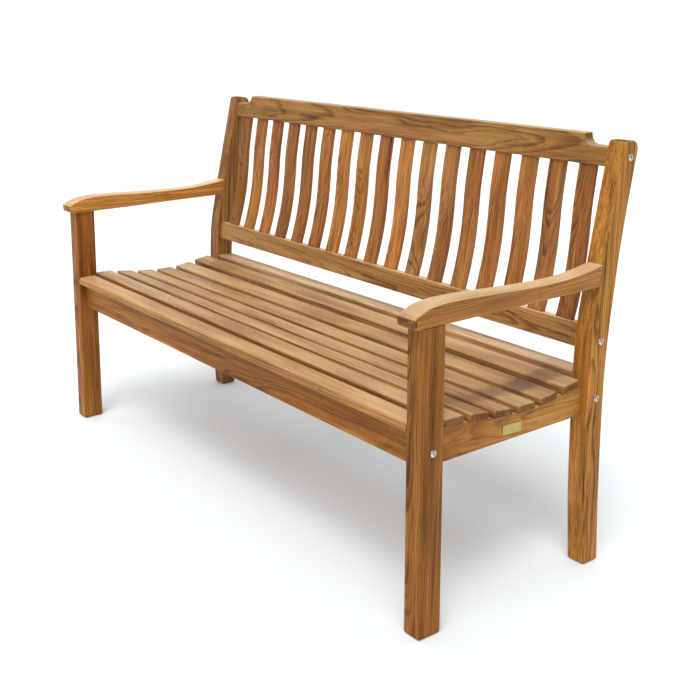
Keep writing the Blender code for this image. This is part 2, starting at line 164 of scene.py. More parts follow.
HEAD_CHAMFER = 0.0003
SOCKET_HALF = 0.0022  # half across the hexagon socket's flats
SOCKET_LIP = 0.00015
SOCKET_DEPTH = 0.0024
DRILL_MARK = (0.0006, 0.0030)  # radius and depth of the cone's end below the socket
BOLT_RADIUS = 0.004
BOLT_REACH = 0.090
BOLT_TIP = 0.001  # length of the shank's tapered end
BOLT_NECK = 0.0004  # fillet between shank and head
NUT_RADIUS = 0.006
NUT_LENGTH = 0.018
NUT_INSET = 0.034  # from the leg's inner face to the nut's axis
NUT_SET_BACK = {"front_rail": 0.003}  # from the bolt's axis, where it isn't none
NUT_POCKET_REACH = 0.030  # how far a pocket's cutter reaches past its nut
PLATE_CENTRE = (0.265, 0.366)  # depth and height
PLATE_SIZE = (0.053, 0.021, 0.001)
PLATE_CORNER = 0.002
PLATE_TILT = radians(3)

# Radii of the boards' arrises
LEG_EASED = 0.003
FOOT_EASED = 0.006  # round the bottom of each leg
RAIL_EASED = 0.0025
SLAT_TOP_EASED = 0.0050
SLAT_EASED = 0.0038
FRONT_SLAT_NOSE = 0.0085
BACK_SLAT_EASED = 0.0020
CREST_EASED = 0.004
PLATE_EASED = 0.0003
SHARP = radians(36)  # an edge that turns by more than this is an arris
CREASE = radians(50)  # and one that turns by more than this is shaded as a sharp edge

# Numbers of steps in a curve
LEG_STEPS = 40
ARM_STEPS = 44
NOSE_STEPS = 8
DISH_STEPS = 40
SLAT_STEPS = 40

# How the boards were sawn
PITH_FAR = (0.045, 0.090)  # nearest and furthest that a board's middle lies from the pith
SAWN_SPREAD = 12  # degrees that a board may be turned either way
BACK_SLAT_SAWN = (32, 10, 24, 14, 42)  # degrees from the slats' faces to the pith, in turn
NO_ARM_SHADOW = (0.0, 1.0, 0.0)  # painted shadow of the right arm: place along the bench, reach to each side, strength


def at_depth(depth):
    return FRONT_Y + depth


def smooth(stations):
    """A smooth function of one variable through its (at, value) stations."""
    at, value = np.array(stations).T
    slope = np.gradient(value, at)

    def curve(t):
        i = int(np.clip(np.searchsorted(at, t, side="right") - 1, 0, len(at) - 2))
        span = at[i + 1] - at[i]
        u = (t - at[i]) / span
        start = value[i] * (1 + 2 * u) * (1 - u) ** 2 + slope[i] * span * u * (1 - u) ** 2
        end = value[i + 1] * u**2 * (3 - 2 * u) - slope[i + 1] * span * u**2 * (1 - u)
        return float(start + end)

    return curve


leg_front = smooth(REAR_LEG_FRONT)
leg_back = smooth(REAR_LEG_BACK)
arm_top = smooth(ARM_TOP)
arm_width = smooth(ARM_WIDTH)
seat_dish = smooth(SEAT_DISH)
slat_front = smooth(BACK_SLAT_FRONT)


# --- Boards -------------------------------------------------------------------------------------


def rounded_corner(before, corner, after, radius, steps=10):
    """Points on the arc that rounds off the corner between two neighbours."""
    corner = Vector(corner)
    into = (Vector(before) - corner).normalized()
    out = (Vector(after) - corner).normalized()
    half = into.angle(out) / 2
    centre = corner + (into + out).normalized() * radius / sin(half)
    start = corner + into * radius / tan(half) - centre
    end = corner + out * radius / tan(half) - centre
    first = atan2(start.y, start.x)
    turn = (atan2(end.y, end.x) - first + pi) % (2 * pi) - pi
    angles = [first + turn * i / steps for i in range(steps + 1)]
    return [(centre.x + radius * cos(a), centre.y + radius * sin(a)) for a in angles]


def loft(rings):
    """A closed form through rings of points, with a face over the first and the last."""
    form = bmesh.new()
    rows = [[form.verts.new(point) for point in ring] for ring in rings]
    form.faces.new(rows[0])
    form.faces.new(rows[-1])
    for low, high in zip(rows, rows[1:]):
        for i in range(len(low)):
            j = (i + 1) % len(low)
            form.faces.new((low[i], low[j], high[j], high[i]))
    bmesh.ops.recalc_face_normals(form, faces=form.faces)
    return form


def section(outline, x_from, x_to):
    """A (depth, height) outline extruded along X."""
    return loft([[(x, at_depth(depth), height) for depth, height in outline] for x in (x_from, x_to)])


def block_outline(depth_from, depth_to, z_from, z_to):
    return [(depth_from, z_from), (depth_to, z_from), (depth_to, z_to), (depth_from, z_to)]


def ease(form, radius, wanted, segments=4):
    """Rounds the arrises whose middle is wanted."""
    arrises = [
        edge
        for edge in form.edges
        if edge.calc_face_angle(0) > SHARP and wanted((edge.verts[0].co + edge.verts[1].co) / 2)
    ]
    bmesh.ops.bevel(
        form,
        geom=arrises,
        offset=radius,
        offset_type="OFFSET",
        segments=segments,
        profile=0.5,
        affect="EDGES",
        clamp_overlap=False,
        loop_slide=True,
    )


def anywhere(_place):
    return True


def underfoot(place):
    """True round the bottom of a leg."""
    return place.z < GAP


def off_legs(place):
    """True off the faces where a long rail meets the legs."""
    return abs(place.x) < INNER - 2 * GAP


def piece_from(form, name, material):
    """The piece that stands for the CAD node of this name."""
    mesh = bpy.data.meshes.new(name)
    form.to_mesh(mesh)
    form.free()
    mesh.materials.append(material)
    mesh.shade_smooth()
    mesh.set_sharp_from_angle(angle=CREASE)
    piece = bpy.data.objects.new(f"{name}_fine", mesh)
    bpy.context.scene.collection.objects.link(piece)
    weighted = piece.modifiers.new("Flat faces stay flat", "WEIGHTED_NORMAL")
    weighted.keep_sharp = True
    weighted.weight = 60
    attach(piece, "root")
    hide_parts(name)
    return piece


def set_grain(piece, along, across, sawn, tone, drift=0.022, stain=NO_ARM_SHADOW):
    """Lays the grain along a direction. Sawn is the angle from the face's normal to the pith.

    Drift is how far the grain runs out of the board per metre.
    """
    draw = random.Random(piece.name)
    along = Vector(along).normalized()
    across = (Vector(across) - along * along.dot(Vector(across))).normalized()
    thick = along.cross(across)
    low, high = (Vector(corner) for corner in (piece.bound_box[0], piece.bound_box[6]))
    middle = (low + high) / 2
    angle = radians(sawn + draw.uniform(-SAWN_SPREAD, SAWN_SPREAD))
    distance = draw.uniform(*PITH_FAR)
    pith = (distance * sin(angle), distance * cos(angle))
    lean = (draw.uniform(-0.4, 0.4) * drift, draw.choice((-1, 1)) * draw.uniform(0.6, 1.3) * drift)
    shift = draw.uniform(0, 40)
    mesh = piece.data
    count = len(mesh.vertices)
    places = np.empty(count * 3)
    mesh.vertices.foreach_get("co", places)
    places = places.reshape(-1, 3) - np.array(middle)
    run = places @ np.array(along)
    grain = np.column_stack(
        (
            run + shift,
            places @ np.array(across) + pith[0] + lean[0] * run,
            places @ np.array(thick) + pith[1] + lean[1] * run,
        )
    )
    # The painted shadow of the right arm: each point's distance from its middle along the bench, in
    # reaches, and its strength
    place, reach, strength = stain
    off_shadow = (places[:, 0] + middle.x - place) / reach
    shadow_places = np.column_stack((off_shadow, np.full(count, strength), np.zeros(count)))
    for label, values in (
        ("stain", shadow_places),
        ("board", grain),
        ("grain", np.tile(np.array(along), (count, 1))),
        ("tone", np.tile(np.array(tone), (count, 1))),
    ):
        layer = mesh.attributes.new(label, "FLOAT_VECTOR", "POINT")
        layer.data.foreach_set("vector", values.astype(np.float32).ravel())


# --- Materials ----------------------------------------------------------------------------------

# Wood's display colours, from its darkest streaks to its palest, and the painted sheen that upward
# faces are paled towards
WARM = ((66, 36, 10), (108, 64, 22), (148, 94, 38), (178, 122, 58), (200, 150, 84))
FAIR = ((84, 50, 20), (126, 80, 36), (164, 110, 54), (192, 138, 76), (214, 168, 104))
TOP_SHEEN_COLOUR = (234, 206, 160)
ARM_SHADOW_COLOUR = (0.48, 0.42, 0.54, 1.0)  # what the painted shadow of the right arm multiplies the wood's colour by
END_GRAIN = (0.42, 0.40, 0.40, 1.0)  # and what end grain does


class Nodes:
    """Adds nodes to a tree. A value is a number, a colour, or another node's output."""

    def __init__(self, tree):
        self.tree = tree

    def put(self, socket, value):
        if isinstance(value, bpy.types.NodeSocket):
            self.tree.links.new(value, socket)
        else:
            socket.default_value = value

    def node(self, kind, inputs, out=0, **settings):
        made = self.tree.nodes.new(kind)
        for key, value in settings.items():
            setattr(made, key, value)
        for key, value in inputs.items():
            self.put(made.inputs[key], value)
        return made.outputs[out]

    def math(self, operation, *values, clamp=False):
        inputs = dict(enumerate(values))
        return self.node("ShaderNodeMath", inputs, operation=operation, use_clamp=clamp)

    def stretched(self, vector, scale, detail=2.0, rough=0.55, distortion=0.0):
        """Noise, 0 to 1, finer or coarser along each of the vector's axes."""
        scaled = self.node("ShaderNodeVectorMath", {0: vector, 1: scale}, operation="MULTIPLY")
        return self.node(
            "ShaderNodeTexNoise",
            {
                "Vector": scaled,
                "Scale": 1.0,
                "Detail": detail,
                "Roughness": rough,
                "Distortion": distortion,
            },
        )

    def dot(self, one, other):
        vectors = {0: one, 1: other}
        return self.node("ShaderNodeVectorMath", vectors, out="Value", operation="DOT_PRODUCT")

    def between(self, value, low, high, to_low=0.0, to_high=1.0):
        """A smooth step from one value to another as the first goes from low to high."""
        return self.node(
            "ShaderNodeMapRange",
            {"Value": value, "From Min": low, "From Max": high, "To Min": to_low, "To Max": to_high},
            interpolation_type="SMOOTHSTEP",
        )

    def around_half(self, noise, amount, base):
        """A base value, pushed up and down by noise."""
        return self.math("MULTIPLY_ADD", self.math("SUBTRACT", noise, 0.5), amount, base)

    def mix(self, factor, one, other, blend="MIX"):
        made = self.tree.nodes.new("ShaderNodeMix")
        made.data_type = "RGBA"
        made.blend_type = blend
        # A Mix node has sockets of each name for every type, so the colours' own go by number
        self.put(made.inputs[0], factor)
        self.put(made.inputs[6], one)
        self.put(made.inputs[7], other)
        return made.outputs[2]

    def attribute(self, name):
        return self.node("ShaderNodeAttribute", {}, out="Vector", attribute_name=name)

    def parts(self, vector):
        """The three numbers of a vector."""
        made = self.tree.nodes.new("ShaderNodeSeparateXYZ")
        self.put(made.inputs[0], vector)
        return made.outputs


class Shading(Nodes):
    """A new material and its shader."""

    def __init__(self, name):
        self.material = bpy.data.materials.new(name)
        self.material.use_nodes = True
        super().__init__(self.material.node_tree)
        self.shader = self.tree.nodes["Principled BSDF"]

    def set(self, **values):
        for key, value in values.items():
            self.put(self.shader.inputs[key.replace("_", " ")], value)


def srgb(red, green, blue):
    """A linear colour from 0 to 255 display values."""
    shares = [value / 255 for value in (red, green, blue)]
    return (*[s / 12.92 if s <= 0.04045 else ((s + 0.055) / 1.055) ** 2.4 for s in shares], 1.0)


def make_teak(name, colours, ring, ring_depth, streak_depth, dark_streaks, rough, specular, top_sheen=0.0):
    """Oiled teak. Colours go from its darkest streaks to its palest wood.

    Ring is the growth of a year in metres, and pale is how much painted sheen upward faces get:
    a paler colour that stands in for light from above and its reflection. The depths say how far
    rings, fine streaks and dark streaks pull the wood down that row of colours.
    """
    made = Shading(name)
    board = made.attribute("board")
    parts = made.parts(board)
    flat = made.node("ShaderNodeCombineXYZ", {"X": 0.0, "Y": parts[1], "Z": parts[2]})
    from_pith = made.node("ShaderNodeVectorMath", {0: flat}, out="Value", operation="LENGTH")

    # Growth rings, waved by the tree's own growth, some strong and some faint
    wave = made.stretched(board, (1.6, 8.0, 8.0))
    ripple = made.stretched(board, (9.0, 90.0, 90.0))
    waved = made.math("MULTIPLY_ADD", wave, 0.040, from_pith)
    waved = made.math("MULTIPLY_ADD", ripple, 0.0030, waved)
    uneven = made.node(
        "ShaderNodeTexNoise",
        {"W": made.math("MULTIPLY", waved, 90.0), "Scale": 1.0, "Detail": 2.0},
        noise_dimensions="1D",
    )
    count = made.math("MULTIPLY_ADD", waved, 1 / ring, made.math("MULTIPLY", uneven, 2.4))
    phase = made.math("FRACT", count)
    late = made.math("MULTIPLY", made.between(phase, 0.35, 0.90), made.between(phase, 1.0, 0.92))
    strong = made.node(  # one draw for each ring
        "ShaderNodeTexNoise",
        {"W": made.math("MULTIPLY", made.math("FLOOR", count), 7.31), "Scale": 1.0, "Detail": 0.0},
        noise_dimensions="1D",
    )

    # Fibres, long streaks, broad light and dark areas, and pores
    fibre = made.stretched(board, (4.5, 380.0, 380.0), 4.0, 0.65)
    band = made.stretched(board, (2.0, 90.0, 90.0), 4.0, 0.6)
    area = made.stretched(board, (3.0, 20.0, 20.0))
    dark = made.between(made.stretched(board, (2.0, 150.0, 150.0), 3.0, 0.6, 0.5), 0.58, 0.72)
    pore = made.between(made.stretched(board, (60.0, 1000.0, 1000.0), 1.0), 0.56, 0.70)

    value = made.around_half(fibre, streak_depth, 0.60)
    value = made.around_half(band, streak_depth, value)
    value = made.around_half(area, 0.65, value)
    lines = made.math("MULTIPLY", late, made.between(strong, 0.35, 0.62, 0.25, 1.0))
    value = made.math("MULTIPLY_ADD", lines, -ring_depth, value)
    value = made.math("MULTIPLY_ADD", dark, -dark_streaks, value)
    value = made.math("MULTIPLY_ADD", pore, -0.14, value, clamp=True)
    ramp = made.tree.nodes.new("ShaderNodeValToRGB")
    made.put(ramp.inputs[0], value)
    stops = ramp.color_ramp.elements
    while len(stops) < len(colours):
        stops.new(0.5)
    for i, colour in enumerate(colours):
        stops[i].position = i / (len(colours) - 1)
        stops[i].color = srgb(*colour)

    # Each board's own hue, saturation and value, which on a few boards also carries painted light, and
    # some more golden areas
    tone = made.parts(made.attribute("tone"))
    golden = made.stretched(board, (4.0, 26.0, 26.0))
    toned = made.node(
        "ShaderNodeHueSaturation",
        {
            "Hue": made.around_half(golden, 0.035, tone[0]),
            "Saturation": tone[1],
            "Value": tone[2],
            "Color": ramp.outputs[0],
        },
    )

    # Faces that look up are painted paler: a painted sheen that stands in for light from above and its
    # reflection
    normal = made.node("ShaderNodeNewGeometry", {}, out="Normal")
    if top_sheen:
        upward = made.between(made.parts(normal)[2], 0.35, 0.95)
        painted_sheen = made.math("MULTIPLY", upward, made.between(area, 0.30, 0.70, top_sheen - 0.12, top_sheen + 0.12))
        toned = made.mix(painted_sheen, toned, srgb(*TOP_SHEEN_COLOUR))

    # Painted shadow of the right arm, with soft, blotchy edges
    stain = made.parts(made.attribute("stain"))
    blotch = made.stretched(board, (30.0, 45.0, 45.0))
    spread = made.around_half(blotch, 1.4, made.math("ABSOLUTE", stain[0]))
    shadow_share = made.math("MULTIPLY", made.between(spread, 1.0, 0.25), stain[1])
    toned = made.mix(shadow_share, toned, ARM_SHADOW_COLOUR, "MULTIPLY")

    # End grain is darker and rougher
    facing = made.dot(normal, made.attribute("grain"))
    end = made.between(made.math("ABSOLUTE", facing), 0.55, 0.95)
    ended = made.mix(made.math("MULTIPLY", end, 0.75), toned, END_GRAIN, "MULTIPLY")

    # Fibres and late wood stand up and pores are sunk
    relief = made.math("MULTIPLY_ADD", pore, -0.8, made.math("MULTIPLY_ADD", late, 0.35, fibre))
    bump = made.node("ShaderNodeBump", {"Strength": 0.22, "Distance": 0.0004, "Height": relief})
    sheen = made.between(fibre, 0.25, 0.75, rough + 0.06, rough - 0.04)
    made.set(Base_Color=ended, Normal=bump, Specular_IOR_Level=specular)
    made.set(Roughness=made.math("MULTIPLY_ADD", end, 0.2, sheen))
    return made.material


def make_metal(name, colour, stain, rough, brushed, fineness):
    """Bright metal with brush marks, finer or coarser along each axis, and a faint bloom."""
    made = Shading(name)
    place = made.node("ShaderNodeTexCoord", {}, out="Object")
    marks = made.stretched(place, fineness, 3.0, 0.6)
    bloom = made.stretched(place, (140.0, 140.0, 140.0))
    made.set(
        Base_Color=made.mix(made.between(bloom, 0.35, 0.75), srgb(*colour), srgb(*stain)),
        Metallic=1.0,
        Roughness=made.math("MULTIPLY_ADD", marks, brushed, rough),
        Normal=made.node("ShaderNodeBump", {"Strength": 0.15, "Distance": 0.00015, "Height": marks}),
    )
    return made.material


TEAKS = {  # colours, ring, ring_depth, streak_depth, dark_streaks, rough, specular, share of painted sheen on upward faces
    "leg_teak": (WARM, 0.0030, 0.34, 0.95, 0.28, 0.46, 0.12),
    "arm_teak": (WARM, 0.0032, 0.30, 1.00, 0.22, 0.36, 0.26, 0.48),
    "rail_teak": (WARM, 0.0032, 0.26, 0.62, 0.20, 0.46, 0.13, 0.34),
    "seat_teak": (FAIR, 0.0034, 0.34, 1.00, 0.28, 0.42, 0.22, 0.26),
    "back_teak": (WARM, 0.0030, 0.30, 0.80, 0.25, 0.46, 0.22),
}
teak = {name: make_teak(name, *looks) for name, looks in TEAKS.items()}
steel = make_metal("bolt_steel", (208, 203, 192), (176, 172, 162), 0.18, 0.16, (60.0, 900.0, 900.0))
nut_steel = make_metal("nut_steel", (190, 190, 186), (150, 150, 144), 0.30, 0.20, (900.0, 60.0, 900.0))
brass = make_metal("plate_brass", (188, 168, 106), (180, 159, 98), 0.28, 0.14, (900.0, 60.0, 1400.0))

BOARDS = {  # hue's change, saturation and value of boards that differ from the rest; a few also carry painted light, as noted
    "front_leg_right": (-0.004, 1.02, 0.85),
    "front_leg_left": (-0.002, 1.00, 1.04),
    "rear_leg_right": (0.003, 1.00, 1.32),
    "rear_leg_left": (0.000, 0.95, 0.94),
    "arm_right": (0.002, 1.03, 1.12),
    # The left arm's value is raised as painted light: its inner face is brightened as if lit by light
    # thrown up from the seat.
    "arm_left": (0.008, 0.98, 1.85),
    "side_rail_right": (0.004, 0.99, 1.20),
    "front_rail": (-0.003, 1.03, 0.97),
    "lower_back_rail": (0.008, 0.92, 1.23),
    # The crest rail is greyed a little as painted sheen on its front.
    "crest_rail": (0.008, 0.94, 0.98),
    "seat_slat_1": (0.002, 1.02, 0.95),
    "seat_slat_6": (0.002, 1.00, 0.86),
    # The back seat slat is made paler and greyer as painted sheen on its top.
    "seat_slat_8": (0.006, 0.90, 1.08),
    "back_slat_01": (-0.006, 1.00, 0.82),
    "back_slat_04": (-0.004, 1.00, 0.92),
    "back_slat_05": (-0.008, 1.00, 0.96),
    "back_slat_07": (-0.004, 1.00, 1.38),
    "back_slat_08": (-0.003, 1.00, 1.28),
    "back_slat_10": (-0.002, 1.00, 1.34),
    "back_slat_11": (0.006, 0.95, 1.18),
    "back_slat_12": (-0.007, 0.98, 0.90),
    "back_slat_13": (-0.004, 1.00, 0.96),
    "back_slat_16": (-0.004, 0.98, 0.96),
    "back_slat_17": (-0.004, 1.00, 0.92),
}
ARM_SHADOWS = {  # painted shadows of the right arm on the seat slats beside it, as in NO_ARM_SHADOW
    3: (0.652, 0.030, 0.45),
    4: (0.655, 0.036, 0.60),
    5: (0.650, 0.040, 0.70),
    6: (0.660, 0.044, 0.85),
    7: (0.668, 0.046, 0.80),
}
OTHER_SLATS = {"back_slat": (-0.007, 1.0, 1.12), "seat_slat": (-0.003, 1.02, 0.82)}
OTHER_BOARDS = (0.0, 1.0, 1.0)


def tone_of(name):
    """A board's hue, saturation and value, with a small seeded change."""
    draw = random.Random(f"{name} tone")
    hue, saturation, value = BOARDS.get(name, OTHER_SLATS.get(name[:9], OTHER_BOARDS))
    return (0.5 + hue + draw.uniform(-0.002, 0.002), saturation, value * draw.uniform(0.98, 1.02))


def finish_board(form, name, slot_name, along, across, sawn, **grain):
    piece = piece_from(form, name, teak[slot_name])
    set_grain(piece, along, across, sawn, tone_of(name), **grain)


# --- Pieces -------------------------------------------------------------------------------------


def make_front_leg(side_name, side):
    top = ARM_UNDERSIDE - GAP
    form = section(block_outline(0, FRONT_LEG_DEPTH, 0, top), side * INNER, side * OUTER)
    ease(form, FOOT_EASED, underfoot)
    ease(form, LEG_EASED, lambda place: place.z < top - GAP)
    finish_board(form, f"front_leg_{side_name}", "leg_teak", (0, 0, 1), (1, 0, 0), 10)


def make_rear_leg(side_name, side):
    heights = [REAR_LEG_TOP * i / LEG_STEPS for i in range(LEG_STEPS - 1)]
    front = [(leg_front(z), z) for z in heights]
    back = [(leg_back(z), z) for z in heights]
    top_front = (leg_front(REAR_LEG_TOP), REAR_LEG_TOP)
    top_back = (leg_back(REAR_LEG_TOP), REAR_LEG_TOP)
    front_arc = rounded_corner(front[-1], top_front, top_back, REAR_LEG_TOP_RADIUS[0])
    back_arc = rounded_corner(top_front, top_back, back[-1], REAR_LEG_TOP_RADIUS[1])
    form = section(front + front_arc + back_arc + back[::-1], side * INNER, side * OUTER)
    ease(form, FOOT_EASED, underfoot)
    ease(form, LEG_EASED, anywhere)
    finish_board(form, f"rear_leg_{side_name}", "leg_teak", (0, 0.06, 1), (1, 0, 0), 40)


def make_arm(side_name, side):
    nose = ARM_TOP[0][0]
    end_low, end_high = (leg_front(z) - GAP for z in (ARM_UNDERSIDE, ARM_TOP[-1][1]))
    stations = []
    for step in range(NOSE_STEPS + 1):
        angle = pi / 2 * step / NOSE_STEPS
        depth = nose + ARM_NOSE_RADIUS * (1 - cos(angle))
        stations.append((depth, ARM_UNDERSIDE + ARM_NOSE_RADIUS * (1 - sin(angle))))
    stations += [(depth, ARM_UNDERSIDE) for depth in np.linspace(0, end_low, ARM_STEPS)[1:-1]]

    def ring(depth, low, top_depth):
        """Four corners: the bottom ones at one depth and the top ones at another."""
        inner, outer = side * (OUTER - arm_width(depth)), side * OUTER
        y_low, y_high, high = at_depth(depth), at_depth(top_depth), arm_top(top_depth)
        return [(inner, y_low, low), (outer, y_low, low), (outer, y_high, high), (inner, y_high, high)]

    rings = [ring(depth, low, depth) for depth, low in stations]
    rings.append(ring(end_low, ARM_UNDERSIDE, end_high))
    form = loft(rings)
    ease(form, LEG_EASED, lambda place: place.y < at_depth(end_low) - GAP)
    finish_board(form, f"arm_{side_name}", "arm_teak", (0, 1, 0), (1, 0, 0), 25)


def make_dished_rail(name, x_range, depth_range, sawn):
    depths = np.linspace(*depth_range, DISH_STEPS)
    top = [(d, seat_dish(d)) for d in depths]
    form = section([(depth_range[0], RAIL_BOTTOM), (depth_range[1], RAIL_BOTTOM)] + top[::-1], *x_range)
    ends = [at_depth(depth) for depth in depth_range]
    ease(form, RAIL_EASED, lambda place: ends[0] + GAP < place.y < ends[1] - GAP)
    finish_board(form, name, "rail_teak", (0, 1, 0), (0, 0, 1), sawn)


def temporary(form):
    """An object that is only there for a Boolean."""
    mesh = bpy.data.meshes.new("temporary")
    form.to_mesh(mesh)
    form.free()
    made = bpy.data.objects.new("temporary", mesh)
    bpy.context.scene.collection.objects.link(made)
    return made


def with_nut_pockets(form, rail_name, lean=0.0):
    """The rail's form with the pockets for its two barrel nuts bored in from behind."""
    depth, height = BOLT_PLACES[rail_name]
    depth += NUT_SET_BACK.get(rail_name, 0.0)
    backward = Vector((0, cos(lean), -sin(lean)))
    rail = temporary(form)
    for _side_name, side in SIDES:
        centre = (side * (INNER - NUT_INSET), at_depth(depth), height)
        ends = (-NUT_LENGTH / 2 - GAP, NUT_LENGTH / 2 + NUT_POCKET_REACH)
        bore = temporary(turned([(NUT_RADIUS + GAP, along) for along in ends], centre, backward, 40))
        cutting = rail.modifiers.new("Pocket", "BOOLEAN")
        cutting.object = bore
        cutting.operation = "DIFFERENCE"
        cutting.solver = "EXACT"
    bored = bmesh.new()
    bored.from_object(rail, bpy.context.evaluated_depsgraph_get())
    for used in [cutting.object for cutting in rail.modifiers] + [rail]:
        mesh = used.data
        bpy.data.objects.remove(used)
        bpy.data.meshes.remove(mesh)
    return bored


def make_seat_rail(name, size):
    form = section(block_outline(*size), GAP - INNER, INNER - GAP)
    ease(form, RAIL_EASED, off_legs)
    form = with_nut_pockets(form, name)
    finish_board(form, name, "rail_teak", (1, 0, 0), (0, 0, 1), 20)


def make_lower_back_rail():
    up = Vector((sin(LOWER_RAIL_RAKE), cos(LOWER_RAIL_RAKE))) * LOWER_RAIL_TALL
    across = Vector((cos(LOWER_RAIL_RAKE), -sin(LOWER_RAIL_RAKE))) * LOWER_RAIL_THICK
    foot = Vector(LOWER_RAIL_FOOT)
    outline = [tuple(p) for p in (foot, foot + across, foot + across + up, foot + up)]
    form = section(outline, GAP - INNER, INNER - GAP)
    ease(form, RAIL_EASED, off_legs)
    form = with_nut_pockets(form, "lower_back_rail", LOWER_RAIL_RAKE)
    finish_board(form, "lower_back_rail", "rail_teak", (1, 0, 0), (0, 0.14, 1), 20)


def make_crest_rail():
    bottom, top = CREST_HEIGHTS
    end = INNER - GAP
    cove = [radians(degrees) for degrees in range(180, 271, 9)]
    centre = CREST_RAISED_HALF + COVE_RADIUS
    right = [(centre + COVE_RADIUS * cos(a), top + COVE_RADIUS * sin(a)) for a in cove]
    right += [(end, top - COVE_RADIUS), (end, bottom)]
    outline = right + [(-x, z) for x, z in right[::-1]]

    def raked(x, z, thick):
        return (x, at_depth(CREST_FRONT + (z - bottom) * tan(CREST_RAKE) + thick), z)

    form = loft([[raked(x, z, thick) for x, z in outline] for thick in (0, CREST_THICK)])
    ease(form, CREST_EASED, off_legs)
    form = with_nut_pockets(form, "crest_rail", CREST_RAKE)
    finish_board(form, "crest_rail", "rail_teak", (1, 0, 0.004), (0, 0.22, 1), 8, drift=0.03)


def make_seat_slat(number):
    front = (number - 1) * SEAT_SLAT_PITCH
    reach = SEAT_SLAT_WIDTH / 2
    middle = front + reach
    thick = FRONT_SLAT_THICK if number == 1 else SEAT_SLAT_THICK
    meets_legs = number in (1, SEAT_SLATS)
    if meets_legs:
        half_length = INNER - GAP
        level = (FRONT_RAIL if number == 1 else REAR_SEAT_RAIL)[3]
        tilt = 0.0
    else:
        half_length = SEAT_SLAT_HALF_LENGTH
        tilt = atan2(seat_dish(middle + reach) - seat_dish(middle - reach), SEAT_SLAT_WIDTH)
        spots = np.linspace(-reach, reach, 9)  # the slat rests on the rail's highest one
        level = max(seat_dish(middle + along) - along * tan(tilt) for along in spots)
    outline = []
    for along, up in ((-reach, 0), (reach, 0), (reach, thick), (-reach, thick)):
        lift = GAP + up
        depth = middle + along * cos(tilt) - lift * sin(tilt)
        outline.append((depth, level + along * sin(tilt) + lift * cos(tilt)))
    form = section(outline, -half_length, half_length)
    middle_z = level + thick / 2 + GAP
    middle_y = at_depth(middle)

    def long_top(place, way):
        """True on the long top arris, at the front where way is -1 and at the back where it is 1."""
        return abs(place.x) < GAP and place.z > middle_z and way * (place.y - middle_y) > reach / 2

    nose = FRONT_SLAT_NOSE if number == 1 else SLAT_TOP_EASED
    ease(form, nose, lambda place: long_top(place, -1), 6)
    ease(form, SLAT_TOP_EASED, lambda place: long_top(place, 1), 6)
    ease(form, SLAT_EASED, off_legs if meets_legs else anywhere)
    # the painted shadow of the right arm falls on the slats beside it
    stain = ARM_SHADOWS.get(number, NO_ARM_SHADOW)
    finish_board(form, f"seat_slat_{number}", "seat_teak", (1, 0, 0), (0, 1, 0), 35, stain=stain)


def make_back_slats():
    low = LOWER_RAIL_FOOT[1] + LOWER_RAIL_TALL - BACK_SLAT_HOUSED
    high = CREST_HEIGHTS[0] + BACK_SLAT_HOUSED
    step = 0.001  # height over which the lean is measured
    front, back = [], []
    for z in np.linspace(low, high, SLAT_STEPS):
        lean = atan2(slat_front(z + step) - slat_front(z - step), 2 * step)
        across = Vector((cos(lean), -sin(lean))) * BACK_SLAT_THICK
        face = Vector((slat_front(z), z))
        front.append(tuple(face))
        back.append(tuple(face + across))
    outline = front + back[::-1]
    for number in range(1, BACK_SLATS + 1):
        centre = (number - (BACK_SLATS + 1) / 2) * BACK_SLAT_PITCH
        left, right = centre - BACK_SLAT_WIDTH / 2, centre + BACK_SLAT_WIDTH / 2
        form = section(outline, left, right)
        ease(form, BACK_SLAT_EASED, lambda place: low + step < place.z < high - step)
        name = f"back_slat_{number:02d}"
        sawn = BACK_SLAT_SAWN[number % len(BACK_SLAT_SAWN)]
        finish_board(form, name, "back_teak", (0, 0.18, 1), (1, 0, 0), sawn)


def turned(rings, place, axis, segments=60):
    """A closed form of rings about an axis through a place.

    A ring is a radius, or a function of the angle that gives one, and a height.
    """
    turn = Vector((0, 0, 1)).rotation_difference(Vector(axis)).to_matrix()
    angles = [2 * pi * i / segments for i in range(segments)]
    made = []
    for radius, along in rings:
        radii = [radius(angle) if callable(radius) else radius for angle in angles]
        points = [Vector((r * cos(angle), r * sin(angle), along)) for r, angle in zip(radii, angles)]
        made.append([Vector(place) + turn @ point for point in points])
    return loft(made)


def make_bolt(rail_name, side_name, side):
    """A button-head bolt with a hexagon socket."""
    depth, height = BOLT_PLACES[rail_name]
    dome = HEAD_HEIGHT - HEAD_RIM
    crown = -HEAD_RIM - dome * 0.965  # height of the socket's mouth

    def hexagon(angle):
        return SOCKET_HALF / cos((angle % (pi / 3)) - pi / 6)

    def mouth(angle):
        return hexagon(angle) + SOCKET_LIP

    rings = [(BOLT_RADIUS * 0.75, BOLT_REACH), (BOLT_RADIUS, BOLT_REACH - BOLT_TIP)]
    rings += [(BOLT_RADIUS, BOLT_NECK), (BOLT_RADIUS + BOLT_NECK, 0)]
    rings += [(HEAD_RADIUS - HEAD_CHAMFER, 0), (HEAD_RADIUS, -HEAD_CHAMFER), (HEAD_RADIUS, -HEAD_RIM)]
    for degrees in range(12, 73, 6):
        angle = radians(degrees)
        rings.append((HEAD_RADIUS * cos(angle), -HEAD_RIM - dome * sin(angle)))
    rings += [(mouth, crown), (hexagon, crown + 0.0002), (hexagon, crown + SOCKET_DEPTH)]
    rings += [(DRILL_MARK[0], crown + DRILL_MARK[1])]
    form = turned(rings, (side * (OUTER + GAP), at_depth(depth), height), (-side, 0, 0))
    name = f"bolt_{rail_name}_{side_name}"
    piece_from(form, name, steel)


